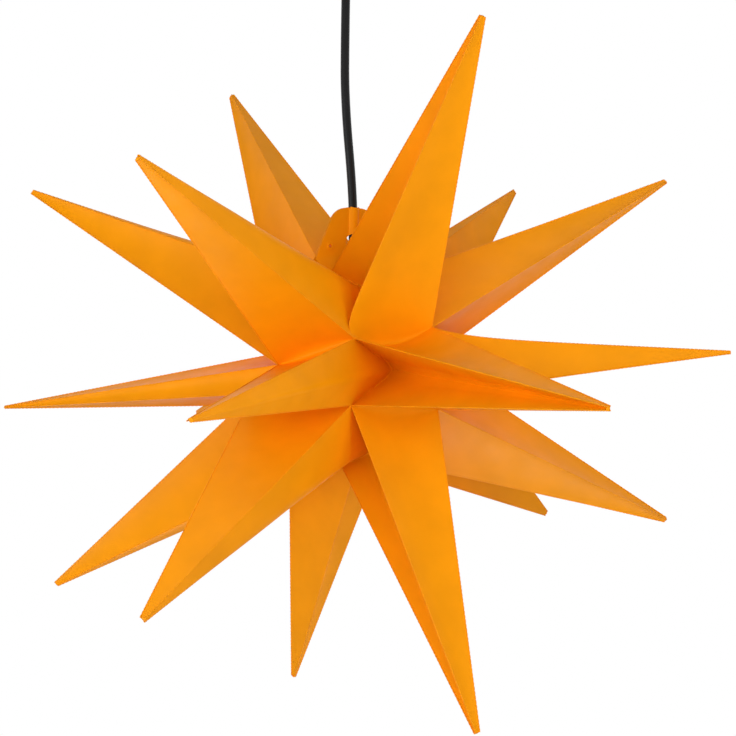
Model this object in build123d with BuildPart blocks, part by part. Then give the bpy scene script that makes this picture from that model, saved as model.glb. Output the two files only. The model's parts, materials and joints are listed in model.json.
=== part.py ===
"""Hanging star light: a folded sheet star of eighteen spikes on a cord from a ceiling rose.

The origin is the middle of the ceiling plate's top face, +Z is up and -Y is the front.
Sizes are in millimetres and angles in degrees.  A heading is counted from the front (-Y)
towards +X.
"""

import os
from math import asin, cos, degrees, pi, radians, sin, tan

from build123d import *

# Star: reach, sheet and place under the ceiling
SPIKE_REACH = 275.0  # star centre to the blunt end of a spike
TIP_CUT = 11.0  # length taken off each point
SHEET = 0.6  # thickness of the plastic sheet
STAR_DROP = 330.0  # ceiling to star centre
STAR_LEAN = 5.0  # the cord hangs this far out of plumb, to the right

# Core of the star, where the spikes meet
CORE_RADIUS = 66.0
POLE_TOP = 72.0  # star centre up to the slit that lets the cord through
POLE_BOTTOM = 69.0  # star centre down to the closing seam
SEAM_HEADING = 33.0  # the slit and the seam run square to this heading
TOP_EDGE = 22.0  # half length of the slit's straight edges
TOP_END = 40.0  # middle of the slit to its ends
BOTTOM_EDGE = 10.0
BOTTOM_END = 30.0
BOTTOM_REAR_SHIFT = 13.0  # the seam's rear corners lie this far to the right of its front ones

# Heading and elevation of each spike, one pair for each column
COLUMNS = ["front_left", "front_right", "right", "rear_right", "rear_left", "left"]
SPIKE_AIMS = {
    "upper": [(-31.5, 28.5), (35, 58), (96, 31), (143, 33), (218, 54), (265, 29)],
    "middle": [(-19, -4), (32, -3), (88, 3), (150, 0), (211, -9), (259, -6)],
    "lower": [(-32, -31), (33, -57.5), (103, -25), (137, -27.5), (205, -65.5), (265, -35.5)],
}
# The soft sheet sags out of true at most corners of the core, each named by the column before it
UPPER_FRONT_RIGHT_SHIFT = 2.0  # to the right
UPPER_FRONT_RIGHT_LIFT = 5.0
UPPER_RIGHT_SHIFT = 9.5
UPPER_RIGHT_DROP = 8.0
UPPER_REAR_LEFT_DROP = 7.0
UPPER_LEFT_SHIFT = 3.0
UPPER_LEFT_DROP = 11.0
LOWER_FRONT_LEFT_SHIFT = -2.0
LOWER_FRONT_LEFT_LIFT = 8.0
LOWER_FRONT_RIGHT_SHIFT = 5.0
LOWER_RIGHT_SHIFT = 14.0
LOWER_RIGHT_LIFT = 17.0
LOWER_REAR_LEFT_LIFT = 9.0
LOWER_LEFT_SHIFT = -18.5
LOWER_LEFT_LIFT = 11.5

# Two tabs beside the cord, riveted together above the slit
TAB_HEIGHT = 48.0
TAB_WIDTH = 66.0
TAB_SHOULDER = 10.0  # height of the widest place
TAB_TOP_WIDTH = 30.0
TAB_TOP_RADIUS = 15.0
TAB_SIGHT_HOLE = 14.0
TAB_SIGHT_HEIGHT = 22.5
RIVET_HOLE = 3.0
RIVET_REACH = 20.5  # cord to rivet
RIVET_HEIGHT = 19.5
RIVET_BORE = 1.6
RIVET_HEAD = 5.6
RIVET_HEAD_THICKNESS = 0.9

# Cord
CORD_DIAMETER = 6.4
CORE_WIRE = 2.0
CORE_SPACING = 2.8

# Clearances
SLIDE_GAP = 0.6  # cord to tabs, so that the star can turn
HANG_GAP = 0.3  # star to the lamp holder that carries it
SNUG_GAP = 0.05
SCREW_GAP = 0.1
BULB_GAP = 0.35

# Lamp holder
HOLDER_RADIUS = 14.0
HOLDER_WALL = 1.6
HOLDER_TOP_WALL = 3.0
HOLDER_CAP_HEIGHT = 18.0
HOLDER_SKIRT_HEIGHT = 32.0
HOLDER_LAP = 5.0  # skirt inside the cap
HOLDER_EDGE = 2.5
HOLDER_BOSS = 6.0  # radius of the boss that grips the cord
CORD_ENTRY = 9.0  # the cord and its boss reach this far into the holder
INSERT_THICKNESS = 6.0
SHELL_WALL = 0.4
SHELL_LENGTH = 17.0
SPRING_WIDTH = 4.0
SPRING_THICKNESS = 0.8

# Bulb
SCREW_CAP_RADIUS = 6.8
SCREW_CAP_WALL = 0.5
SCREW_CAP_LENGTH = 21.0
SPIGOT_LENGTH = 15.0  # bulb body inside the screw cap
CONTACT_RADIUS = 2.5
CONTACT_HEIGHT = 1.6
BULB_COLLAR = 9.0
BULB_RADIUS = 22.5
BULB_RIM = 20.0  # radius where the body meets the globe
BULB_FLARE_LENGTH = 16.0
BULB_WALL = 1.2
BOARD_THICKNESS = 1.5
LED_COUNT = 8
LED_SIZE = 2.8
LED_HEIGHT = 0.7
LED_CIRCLE = 12.0

# Ceiling rose
ROSE_RADIUS = 40.0
ROSE_HEIGHT = 36.0
ROSE_WALL = 1.8
ROSE_EDGE = 6.0
PLATE_THICKNESS = 2.0
PLATE_GAP = 0.7
CEILING_HOLE = 4.5
CEILING_HOLE_SPACING = 50.0
SUPPLY_HOLE = 12.0
EAR_WIDTH = 12.0
EAR_DROP = 14.0
EAR_THICKNESS = 1.5
ROSE_SCREW = 3.0
ROSE_SCREW_HEAD = 5.5
ROSE_SCREW_HEAD_THICKNESS = 2.0
ROSE_SCREW_DROP = 10.0
BLOCK_WIDTH = 24.0
BLOCK_DEPTH = 14.0
BLOCK_HEIGHT = 13.0
BLOCK_BACK = 9.0  # cord to the front of the terminal block
BLOCK_PITCH = 10.0
TERMINAL_SCREW = 3.5

# Cord grip
GRIP_THREAD = 10.0
GRIP_RISE = 10.0  # thread inside the rose
GRIP_FLANGE = 18.0
GRIP_FLANGE_THICKNESS = 3.0
GRIP_MOUTH_LENGTH = 8.0
GRIP_MOUTH_FLARE = 30.0  # angle that leaves the cord room to swing
GRIP_MOUTH_WALL = 1.4
MOUTH_GAP = 0.8
NUT_ACROSS = 14.0
NUT_THICKNESS = 3.0
BEND_RADIUS = 2.0  # ball that stands for the cord's bend in the mouth
BEND_GAP = 0.1
TAIL_RISE = 6.0  # cord inside the rose, above its grip

# Route of the hanging cord between its two ends: right and up from the ceiling's origin
CORD_ROUTE = [(-0.8, -85.0), (-1.0, -132.0), (4.9, -201.0)]

os.makedirs("parts", exist_ok=True)

STAR_CENTRE = Vector(STAR_LEAN, 0, -STAR_DROP)
AXIS_PLANE = Plane(STAR_CENTRE, x_dir=(1, 0, 0), z_dir=(0, -1, 0))  # local Y is up
CORD_RADIUS = CORD_DIAMETER / 2
SLIT = CORD_RADIUS + SLIDE_GAP + SHEET  # half width of the slit, to the tabs' outer faces


def aim(heading, elevation=0.0):
    """Unit vector at a heading and an elevation."""
    level = cos(radians(elevation))
    return Vector(level * sin(radians(heading)), -level * cos(radians(heading)), sin(radians(elevation)))


def save(part, name):
    part.label = name
    export_step(part, f"parts/{name}.step")


def ring_corners(row, sag):
    """Corners of the core between the middle row and another row, one after each column."""
    corners = []
    for column, place in enumerate(COLUMNS):
        beside = (column + 1) % len(COLUMNS)
        aims = [SPIKE_AIMS[r][c] for r in (row, "middle") for c in (column, beside)]
        mean = sum((aim(*pair) for pair in aims), Vector())
        corners.append(mean.normalized() * CORE_RADIUS + sag.get(place, Vector()))
    return corners


def pole_corners(height, half_gap, edge, end, rear_shift=0.0):
    """Corners of the core at a pole, round a slit or a seam."""
    across = aim(SEAM_HEADING) * half_gap
    along = aim(SEAM_HEADING + 90)
    lift = Vector(0, 0, height)
    flat = [
        across - along * edge,
        across + along * edge,
        along * end,
        along * (rear_shift + edge) - across,
        along * (rear_shift - edge) - across,
        along * -end,
    ]
    return [corner + lift for corner in flat]


def toward_centre(corners):
    """The corners moved so that their plane lies one sheet nearer to the star's centre."""
    normal = (corners[1] - corners[0]).cross(corners[2] - corners[0]).normalized()
    depth = abs(normal.dot(corners[0]))
    return [corner * (1 - SHEET / depth) for corner in corners]


def sheet_panel(corners):
    """Flat panel of sheet whose edges are mitred on planes through the star's centre."""
    with BuildPart() as panel:
        for outline in (corners, toward_centre(corners)):
            placed = [corner + STAR_CENTRE for corner in outline]
            normal = (placed[1] - placed[0]).cross(placed[2] - placed[0])
            face = Plane(placed[0], x_dir=placed[1] - placed[0], z_dir=normal)
            with BuildSketch(face):
                with BuildLine():
                    Polyline(*[face.to_local_coords(corner) for corner in placed], close=True)
                make_face()
        loft(ruled=True)
    return panel.part


def spike(name, base, heading, elevation):
    """Hollow spike of four panels over a base of four corners."""
    point = aim(heading, elevation) * (SPIKE_REACH + TIP_CUT)
    panels = []
    for side in range(4):
        left, right = base[side - 1], base[side]
        ends = [point + (corner - point).normalized() * TIP_CUT for corner in (right, left)]
        panels.append(sheet_panel([left, right, *ends]))
    save(Compound(children=panels), f"{name}_spike")


# Star of eighteen spikes
upper_sag = {
    "front_right": Vector(UPPER_FRONT_RIGHT_SHIFT, 0, UPPER_FRONT_RIGHT_LIFT),
    "right": Vector(UPPER_RIGHT_SHIFT, 0, -UPPER_RIGHT_DROP),
    "rear_left": Vector(0, 0, -UPPER_REAR_LEFT_DROP),
    "left": Vector(UPPER_LEFT_SHIFT, 0, -UPPER_LEFT_DROP),
}
lower_sag = {
    "front_left": Vector(LOWER_FRONT_LEFT_SHIFT, 0, LOWER_FRONT_LEFT_LIFT),
    "front_right": Vector(LOWER_FRONT_RIGHT_SHIFT, 0, 0),
    "right": Vector(LOWER_RIGHT_SHIFT, 0, LOWER_RIGHT_LIFT),
    "rear_left": Vector(0, 0, LOWER_REAR_LEFT_LIFT),
    "left": Vector(LOWER_LEFT_SHIFT, 0, LOWER_LEFT_LIFT),
}
upper_ring = ring_corners("upper", upper_sag)
lower_ring = ring_corners("lower", lower_sag)
top_pole = pole_corners(POLE_TOP, SLIT, TOP_EDGE, TOP_END)
bottom_pole = pole_corners(-POLE_BOTTOM, 0, BOTTOM_EDGE, BOTTOM_END, BOTTOM_REAR_SHIFT)
rows = {
    "upper": (top_pole, upper_ring),
    "middle": (upper_ring, lower_ring),
    "lower": (lower_ring, bottom_pole),
}
for row, (above, below) in rows.items():
    for column, place in enumerate(COLUMNS):
        base = [above[column - 1], above[column], below[column], below[column - 1]]
        spike(f"{row}_{place}", base, *SPIKE_AIMS[row][column])


def tab_plane(heading):
    """Outer face of a tab: local X along the slit, local Y up, local Z away from the cord."""
    face_normal = aim(heading)
    return Plane(
        STAR_CENTRE + face_normal * SLIT + Vector(0, 0, POLE_TOP),
        x_dir=aim(heading + 90),
        z_dir=face_normal,
    )


# Tabs that close round the cord
for name, heading in (("front_tab", SEAM_HEADING), ("rear_tab", SEAM_HEADING + 180)):
    with BuildPart() as tab:
        with BuildSketch(tab_plane(heading)):
            with BuildLine():
                Polyline(
                    (-TOP_EDGE, 0),
                    (-TAB_WIDTH / 2, TAB_SHOULDER),
                    (-TAB_TOP_WIDTH / 2, TAB_HEIGHT),
                    (TAB_TOP_WIDTH / 2, TAB_HEIGHT),
                    (TAB_WIDTH / 2, TAB_SHOULDER),
                    (TOP_EDGE, 0),
                    close=True,
                )
            outline = make_face()
            fillet(outline.vertices().group_by(Axis.Y)[-1], TAB_TOP_RADIUS)
            with Locations((0, TAB_SIGHT_HEIGHT)):
                Circle(TAB_SIGHT_HOLE / 2, mode=Mode.SUBTRACT)
            with Locations((-RIVET_REACH, RIVET_HEIGHT), (RIVET_REACH, RIVET_HEIGHT)):
                Circle(RIVET_HOLE / 2, mode=Mode.SUBTRACT)
        extrude(amount=-SHEET)
    save(tab.part, name)

# Hollow rivets through both tabs
rivets = []
for reach in (-RIVET_REACH, RIVET_REACH):
    middle = STAR_CENTRE + aim(SEAM_HEADING + 90) * reach + Vector(0, 0, POLE_TOP + RIVET_HEIGHT)
    with BuildPart() as rivet:
        with BuildSketch(Plane(middle, x_dir=aim(SEAM_HEADING + 90), z_dir=aim(SEAM_HEADING))):
            Circle(RIVET_HOLE / 2 - SNUG_GAP)
        extrude(amount=SLIT, both=True)
        for heading in (SEAM_HEADING, SEAM_HEADING + 180):
            out = aim(heading)
            with BuildSketch(Plane(middle + out * SLIT, z_dir=out)):
                Circle(RIVET_HEAD / 2)
            extrude(amount=RIVET_HEAD_THICKNESS)
        with BuildSketch(Plane(middle, z_dir=aim(SEAM_HEADING))):
            Circle(RIVET_BORE / 2)
        extrude(amount=SLIT + RIVET_HEAD_THICKNESS, both=True, mode=Mode.SUBTRACT)
    rivets.append(rivet.part)
save(Compound(children=rivets), "tab_rivets")


def turned(outline, plane, axis):
    """Piece turned about an axis from a half outline of (radius, height) points."""
    with BuildPart() as piece:
        with BuildSketch(plane):
            with BuildLine():
                Polyline(*outline, close=True)
            make_face()
        revolve(axis=axis)
    return piece.part


def round_bar(radius, start, length):
    """Upright round bar from its foot."""
    with BuildPart() as bar:
        with BuildSketch(Plane(start)):
            Circle(radius)
        extrude(amount=length)
    return bar.part


def lamp_disc(radius, top, bottom):
    """Disc on the star's axis between two heights from the star's centre."""
    return round_bar(radius, STAR_CENTRE + Vector(0, 0, bottom), top - bottom)


# Heights in the lamp, from the star's centre
STAR_AXIS = Axis(STAR_CENTRE, (0, 0, 1))
pole_edges = []
for column in range(len(COLUMNS)):
    point = aim(*SPIKE_AIMS["upper"][column]) * (SPIKE_REACH + TIP_CUT)
    pole_edges += toward_centre([top_pole[column - 1], top_pole[column], point])[:2]
holder_top = min(corner.Z for corner in pole_edges) - HANG_GAP
skirt_top = holder_top - HOLDER_CAP_HEIGHT
skirt_bottom = skirt_top - HOLDER_SKIRT_HEIGHT
insert_top = skirt_top + HOLDER_LAP
insert_bottom = insert_top - INSERT_THICKNESS
contact_top = insert_bottom - SPRING_THICKNESS - BULB_GAP
screw_cap_top = contact_top - CONTACT_HEIGHT
screw_cap_bottom = screw_cap_top - SCREW_CAP_LENGTH
collar_bottom = skirt_bottom - BULB_GAP
rim_height = collar_bottom - BULB_FLARE_LENGTH
cord_end = holder_top - CORD_ENTRY

# Radii in the lamp
cord_hole = CORD_RADIUS + SNUG_GAP
cap_bore = HOLDER_RADIUS - HOLDER_WALL
skirt_spigot = cap_bore - SNUG_GAP
skirt_bore = skirt_spigot - HOLDER_WALL
screw_cap_bore = SCREW_CAP_RADIUS - SCREW_CAP_WALL
bulb_spigot = screw_cap_bore - SNUG_GAP
spigot_bore = bulb_spigot - BULB_WALL
rim_bore = BULB_RIM - BULB_WALL

# Cap of the lamp holder, on which the star hangs
with BuildPart() as holder_cap:
    with BuildSketch(AXIS_PLANE):
        with BuildLine():
            Polyline(
                (cord_hole, holder_top),
                (HOLDER_RADIUS, holder_top),
                (HOLDER_RADIUS, skirt_top),
                (cap_bore, skirt_top),
                (cap_bore, holder_top - HOLDER_TOP_WALL),
                (HOLDER_BOSS, holder_top - HOLDER_TOP_WALL),
                (HOLDER_BOSS, cord_end),
                (cord_hole, cord_end),
                close=True,
            )
        make_face()
    revolve(axis=STAR_AXIS)
    top_edges = holder_cap.edges().filter_by(GeomType.CIRCLE).group_by(Axis.Z)[-1]
    fillet(top_edges.sort_by(SortBy.RADIUS)[-1], HOLDER_EDGE)
save(holder_cap.part, "holder_cap")

skirt_outline = [
    (skirt_bore, insert_top),
    (skirt_spigot, insert_top),
    (skirt_spigot, skirt_top),
    (HOLDER_RADIUS, skirt_top),
    (HOLDER_RADIUS, skirt_bottom),
    (skirt_bore, skirt_bottom),
]
save(turned(skirt_outline, AXIS_PLANE, STAR_AXIS), "holder_skirt")

insert_radius = skirt_bore - SNUG_GAP
save(lamp_disc(insert_radius, insert_top, insert_bottom), "holder_insert")

# Screw shell and centre spring of the lamp holder
shell_bore = SCREW_CAP_RADIUS + BULB_GAP
shell_outline = [
    (shell_bore, insert_bottom),
    (shell_bore + SHELL_WALL, insert_bottom),
    (shell_bore + SHELL_WALL, insert_bottom - SHELL_LENGTH),
    (shell_bore, insert_bottom - SHELL_LENGTH),
]
with BuildPart() as spring:
    with BuildSketch(Plane(STAR_CENTRE + Vector(0, 0, insert_bottom))):
        SlotOverall(2 * SPRING_WIDTH, SPRING_WIDTH)
    extrude(amount=-SPRING_THICKNESS)
contacts = [turned(shell_outline, AXIS_PLANE, STAR_AXIS), spring.part]
save(Compound(children=contacts), "holder_contacts")

holder_leads = []
for side in (-CORE_SPACING / 2, CORE_SPACING / 2):
    foot = STAR_CENTRE + Vector(side, 0, insert_top)
    holder_leads.append(round_bar(CORE_WIRE / 2, foot, cord_end - insert_top))
save(Compound(children=holder_leads), "holder_leads")

# Bulb
screw_cap_outline = [
    (CONTACT_RADIUS, screw_cap_top),
    (SCREW_CAP_RADIUS, screw_cap_top),
    (SCREW_CAP_RADIUS, screw_cap_bottom),
    (screw_cap_bore, screw_cap_bottom),
    (screw_cap_bore, screw_cap_top - SCREW_CAP_WALL),
    (CONTACT_RADIUS, screw_cap_top - SCREW_CAP_WALL),
]
save(turned(screw_cap_outline, AXIS_PLANE, STAR_AXIS), "bulb_screw_cap")

save(lamp_disc(CONTACT_RADIUS, contact_top, screw_cap_top - SCREW_CAP_WALL), "bulb_contact")

body_outline = [
    (spigot_bore, screw_cap_bottom + SPIGOT_LENGTH),
    (bulb_spigot, screw_cap_bottom + SPIGOT_LENGTH),
    (bulb_spigot, screw_cap_bottom),
    (BULB_COLLAR, screw_cap_bottom),
    (BULB_COLLAR, collar_bottom),
    (BULB_RIM, rim_height),
    (rim_bore, rim_height),
    (BULB_COLLAR - BULB_WALL, collar_bottom),
    (spigot_bore, collar_bottom),
]
save(turned(body_outline, AXIS_PLANE, STAR_AXIS), "bulb_body")

globe_drop = (BULB_RADIUS**2 - BULB_RIM**2) ** 0.5
globe_middle = rim_height - globe_drop
globe_bore = BULB_RADIUS - BULB_WALL
with BuildPart() as bulb_globe:
    with BuildSketch(AXIS_PLANE):
        with BuildLine():
            for radius in (BULB_RADIUS, globe_bore):
                CenterArc((0, globe_middle), radius, -90, 90 + degrees(asin(globe_drop / radius)))
            Line((0, globe_middle - BULB_RADIUS), (0, globe_middle - globe_bore))
            Line((BULB_RIM, rim_height), ((globe_bore**2 - globe_drop**2) ** 0.5, rim_height))
        make_face()
    revolve(axis=STAR_AXIS)
save(bulb_globe.part, "bulb_globe")

# Board of light sources, snug in the flared rim of the bulb's body
flare = (rim_bore - BULB_COLLAR + BULB_WALL) / BULB_FLARE_LENGTH
with BuildPart() as led_board:
    with BuildSketch(Plane(STAR_CENTRE + Vector(0, 0, rim_height + BOARD_THICKNESS))):
        Circle(rim_bore - flare * BOARD_THICKNESS - SNUG_GAP)
    extrude(amount=-BOARD_THICKNESS)
    with BuildSketch(Plane(STAR_CENTRE + Vector(0, 0, rim_height))):
        with PolarLocations(LED_CIRCLE, LED_COUNT):
            Rectangle(LED_SIZE, LED_SIZE)
    extrude(amount=-LED_HEIGHT)
save(led_board.part, "led_board")

# Ceiling plate with two ears turned down for the rose's screws
plate_radius = ROSE_RADIUS - ROSE_WALL - PLATE_GAP
ear_outside = (plate_radius**2 - (EAR_WIDTH / 2) ** 2) ** 0.5
with BuildPart() as ceiling_plate:
    with BuildSketch():
        Circle(plate_radius)
        Circle(SUPPLY_HOLE / 2, mode=Mode.SUBTRACT)
        with GridLocations(CEILING_HOLE_SPACING, 1, 2, 1):
            Circle(CEILING_HOLE / 2, mode=Mode.SUBTRACT)
    extrude(amount=-PLATE_THICKNESS)
    with BuildSketch(Plane.XY.offset(-PLATE_THICKNESS)):
        with GridLocations(2 * ear_outside - EAR_THICKNESS, 1, 2, 1):
            Rectangle(EAR_THICKNESS, EAR_WIDTH)
    extrude(amount=-EAR_DROP)
    with BuildSketch(Plane.YZ):
        with Locations((0, -ROSE_SCREW_DROP)):
            Circle(ROSE_SCREW / 2 + SNUG_GAP)
    extrude(amount=ROSE_RADIUS, both=True, mode=Mode.SUBTRACT)
save(ceiling_plate.part, "ceiling_plate")

# Rose that hides the plate
thread_radius = GRIP_THREAD / 2
with BuildPart() as ceiling_rose:
    with BuildSketch():
        Circle(ROSE_RADIUS)
    extrude(amount=-ROSE_HEIGHT)
    fillet(ceiling_rose.edges().group_by(Axis.Z)[0], ROSE_EDGE)
    offset(amount=-ROSE_WALL, openings=ceiling_rose.faces().sort_by(Axis.Z)[-1])
    with BuildSketch(Plane.XY.offset(-ROSE_HEIGHT)):
        Circle(thread_radius + SCREW_GAP)
    extrude(amount=2 * ROSE_WALL, mode=Mode.SUBTRACT)
    with BuildSketch(Plane.YZ):
        with Locations((0, -ROSE_SCREW_DROP)):
            Circle(ROSE_SCREW / 2 + SCREW_GAP)
    extrude(amount=ROSE_RADIUS, both=True, mode=Mode.SUBTRACT)
save(ceiling_rose.part, "ceiling_rose")

# Two screws from the rose's side into the ears
rose_screws = []
for side in (-1, 1):
    seat = Vector(side * ROSE_RADIUS, 0, -ROSE_SCREW_DROP)
    with BuildPart() as rose_screw:
        with BuildSketch(Plane(seat, z_dir=(side, 0, 0))):
            Circle(ROSE_SCREW / 2)
        extrude(amount=ear_outside - ROSE_RADIUS - 2 * EAR_THICKNESS)
        with BuildSketch(Plane(seat, z_dir=(side, 0, 0))):
            Circle(ROSE_SCREW_HEAD / 2)
        extrude(amount=ROSE_SCREW_HEAD_THICKNESS)
    rose_screws.append(rose_screw.part)
save(Compound(children=rose_screws), "rose_screws")

# Cord grip: thread, flange and a flared mouth in which the cord swings
rose_floor = ROSE_WALL - ROSE_HEIGHT
swing_height = -ROSE_HEIGHT - GRIP_FLANGE_THICKNESS
mouth_bottom = swing_height - GRIP_MOUTH_LENGTH
grip_top = -ROSE_HEIGHT + GRIP_RISE
throat = CORD_RADIUS + MOUTH_GAP
mouth_radius = throat + GRIP_MOUTH_LENGTH * tan(radians(GRIP_MOUTH_FLARE))
neck_radius = throat + GRIP_MOUTH_WALL
grip_outline = [
    (cord_hole, grip_top),
    (thread_radius, grip_top),
    (thread_radius, -ROSE_HEIGHT),
    (GRIP_FLANGE / 2, -ROSE_HEIGHT),
    (GRIP_FLANGE / 2, swing_height),
    (neck_radius, swing_height),
    (mouth_radius + GRIP_MOUTH_WALL, mouth_bottom),
    (mouth_radius, mouth_bottom),
    (throat, swing_height),
    (cord_hole, swing_height),
]
save(turned(grip_outline, Plane.XZ, Axis.Z), "cord_grip")

with BuildPart() as grip_nut:
    with BuildSketch(Plane.XY.offset(rose_floor)):
        RegularPolygon(NUT_ACROSS / 2, 6, major_radius=False)
        Circle(thread_radius + SNUG_GAP, mode=Mode.SUBTRACT)
    extrude(amount=NUT_THICKNESS)
save(grip_nut.part, "grip_nut")

# Terminal block under the plate, behind the cord
block_top = -PLATE_THICKNESS
block_middle = BLOCK_BACK + BLOCK_DEPTH / 2
entry_height = block_top - BLOCK_HEIGHT / 2
entry_depth = BLOCK_DEPTH / 2
with BuildPart() as terminal_block:
    with BuildSketch(Plane.XY.offset(block_top)):
        with Locations((0, block_middle)):
            Rectangle(BLOCK_WIDTH, BLOCK_DEPTH)
    extrude(amount=-BLOCK_HEIGHT)
    with BuildSketch(Plane.XZ.offset(-BLOCK_BACK)):
        with Locations((-BLOCK_PITCH / 2, entry_height), (BLOCK_PITCH / 2, entry_height)):
            Circle(CORE_WIRE / 2 + SNUG_GAP)
    extrude(amount=-entry_depth, mode=Mode.SUBTRACT)
    with BuildSketch(Plane.XY.offset(block_top - BLOCK_HEIGHT)):
        with Locations((0, block_middle)):
            with GridLocations(BLOCK_PITCH, 1, 2, 1):
                Circle(TERMINAL_SCREW / 2 + SNUG_GAP)
    extrude(amount=BLOCK_HEIGHT / 2 - CORE_WIRE, mode=Mode.SUBTRACT)
save(terminal_block.part, "terminal_block")

terminal_screws = []
for side in (-BLOCK_PITCH / 2, BLOCK_PITCH / 2):
    foot = Vector(side, block_middle, block_top - BLOCK_HEIGHT)
    terminal_screws.append(round_bar(TERMINAL_SCREW / 2, foot, BLOCK_HEIGHT / 2 - CORE_WIRE))
save(Compound(children=terminal_screws), "terminal_screws")

# Cord inside the grip and the rose, with its two cores led to the terminals
tail_top = grip_top + TAIL_RISE
tail_foot = Vector(0, 0, swing_height + BEND_RADIUS + BEND_GAP)
save(round_bar(CORD_RADIUS, tail_foot, tail_top - tail_foot.Z), "cord_tail")

rose_leads = []
for side in (-1, 1):
    with BuildPart() as lead:
        with BuildLine() as lead_path:
            FilletPolyline(
                (side * CORE_SPACING / 2, 0, tail_top),
                (side * CORE_SPACING / 2, 0, entry_height),
                (side * BLOCK_PITCH / 2, BLOCK_BACK - CORE_WIRE, entry_height),
                (side * BLOCK_PITCH / 2, BLOCK_BACK + entry_depth, entry_height),
                radius=CORE_WIRE,
            )
        with BuildSketch(lead_path.line ^ 0):
            Circle(CORE_WIRE / 2)
        sweep()
    rose_leads.append(lead.part)
save(Compound(children=rose_leads), "rose_leads")

with BuildPart() as cord_bend:
    with Locations((0, 0, swing_height)):
        Sphere(BEND_RADIUS)
save(cord_bend.part, "cord_bend")

# Hanging cord
hang_points = [Vector(0, 0, swing_height - BEND_RADIUS - BEND_GAP)]
hang_points += [Vector(right, 0, up) for right, up in CORD_ROUTE]
hang_points += [STAR_CENTRE + Vector(0, 0, cord_end)]
hang_radii = []
for before, corner, after in zip(hang_points, hang_points[1:], hang_points[2:]):
    runs = (corner - before, after - corner)
    turn = runs[0].get_angle(runs[1])
    hang_radii.append(0.45 * min(run.length for run in runs) / tan(radians(turn / 2)))
with BuildPart() as pendant_cord:
    with BuildLine() as hang_path:
        FilletPolyline(*hang_points, radius=hang_radii)
    with BuildSketch(hang_path.line ^ 0):
        Circle(CORD_RADIUS)
    sweep()
save(pendant_cord.part, "pendant_cord")
cord_length = hang_path.wire().length
cord_volume = cord_length * pi * CORD_RADIUS**2
print("cord radii", [round(radius) for radius in hang_radii])
print("cord length", round(cord_length, 1))
print("cord volume over section times length", pendant_cord.part.volume / cord_volume)
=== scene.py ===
"""Looks of the hanging star light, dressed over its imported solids.

The frame is the part's own: the origin is the middle of the ceiling plate's top face, +Z is up and
-Y is the front.  Lengths are in metres, written as millimetres times MM.  A heading is counted in
degrees from the front (-Y) towards +X.
"""

import json
from collections import namedtuple
from math import atan2, cos, hypot, pi, radians, sin

import bpy
import numpy as np
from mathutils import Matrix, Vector, noise


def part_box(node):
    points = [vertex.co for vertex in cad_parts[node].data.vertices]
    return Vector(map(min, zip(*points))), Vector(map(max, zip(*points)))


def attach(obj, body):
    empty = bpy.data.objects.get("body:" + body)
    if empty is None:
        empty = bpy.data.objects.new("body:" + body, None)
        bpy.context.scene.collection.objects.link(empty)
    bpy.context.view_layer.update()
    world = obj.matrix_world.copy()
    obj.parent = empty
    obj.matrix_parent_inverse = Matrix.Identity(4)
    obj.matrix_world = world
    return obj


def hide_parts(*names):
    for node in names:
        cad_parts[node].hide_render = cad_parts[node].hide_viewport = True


MM = 0.001

# Star, with the same values as the solids
STAR_CENTRE = np.array([5.0, 0.0, -330.0]) * MM
SPIKE_REACH = 275.0 * MM  # star centre to the blunt end of a spike
TIP_CUT = 11.0 * MM  # length taken off each point
SHEET = 0.6 * MM
CORE_RADIUS = 66.0 * MM
POLE_TOP = 72.0 * MM
POLE_BOTTOM = 69.0 * MM
SEAM_HEADING = 33.0
TOP_EDGE = 22.0 * MM
TOP_END = 40.0 * MM
BOTTOM_EDGE = 10.0 * MM
BOTTOM_END = 30.0 * MM
BOTTOM_REAR_SHIFT = 13.0 * MM
COLUMNS = ["front_left", "front_right", "right", "rear_right", "rear_left", "left"]
SPIKE_AIMS = {
    "upper": [(-31.5, 28.5), (35, 58), (96, 31), (143, 33), (218, 54), (265, 29)],
    "middle": [(-19, -4), (32, -3), (88, 3), (150, 0), (211, -9), (259, -6)],
    "lower": [(-32, -31), (33, -57.5), (103, -25), (137, -27.5), (205, -65.5), (265, -35.5)],
}
UPPER_SAG = {  # millimetres
    "front_right": (2.0, 0.0, 5.0),
    "right": (9.5, 0.0, -8.0),
    "rear_left": (0.0, 0.0, -7.0),
    "left": (3.0, 0.0, -11.0),
}
LOWER_SAG = {
    "front_left": (-2.0, 0.0, 8.0),
    "front_right": (5.0, 0.0, 0.0),
    "right": (14.0, 0.0, 17.0),
    "rear_left": (0.0, 0.0, 9.0),
    "left": (-18.5, 0.0, 11.5),
}

# Soft folds of the sheet between spikes
FOLD_BOW = 7.0 * MM  # how far a fold's middle is drawn in towards the star's centre
BOW_LIMIT = 0.12  # bow of a short fold, as a share of its length
FOLD_SOFTNESS = 17.0 * MM  # sheet taken up by a fold's round bottom, each way, at its middle
FOLD_ROUNDING = 0.9  # 1 bows evenly, 0 goes straight to its middle
WAVE_HEIGHT = 0.7 * MM  # slow waves in the faces
WAVE_LENGTH = 70.0 * MM
WAVE_STEP = 3.7  # from one face's waves to the next face's, in wave lengths
RIDGE_TAPER = 7.0  # width over which a sheet thins out to a ridge, in thicknesses
LEAST_SHARE = 0.03  # share of the thickness that is left at a ridge

# Sewn ridges
SEAM_RADIUS = 0.28 * MM
STITCH_SWELL = 0.2 * MM
STITCH_PITCH = 3.0 * MM
STITCH_RINGS = 4
SEAM_SIDES = 6

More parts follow.
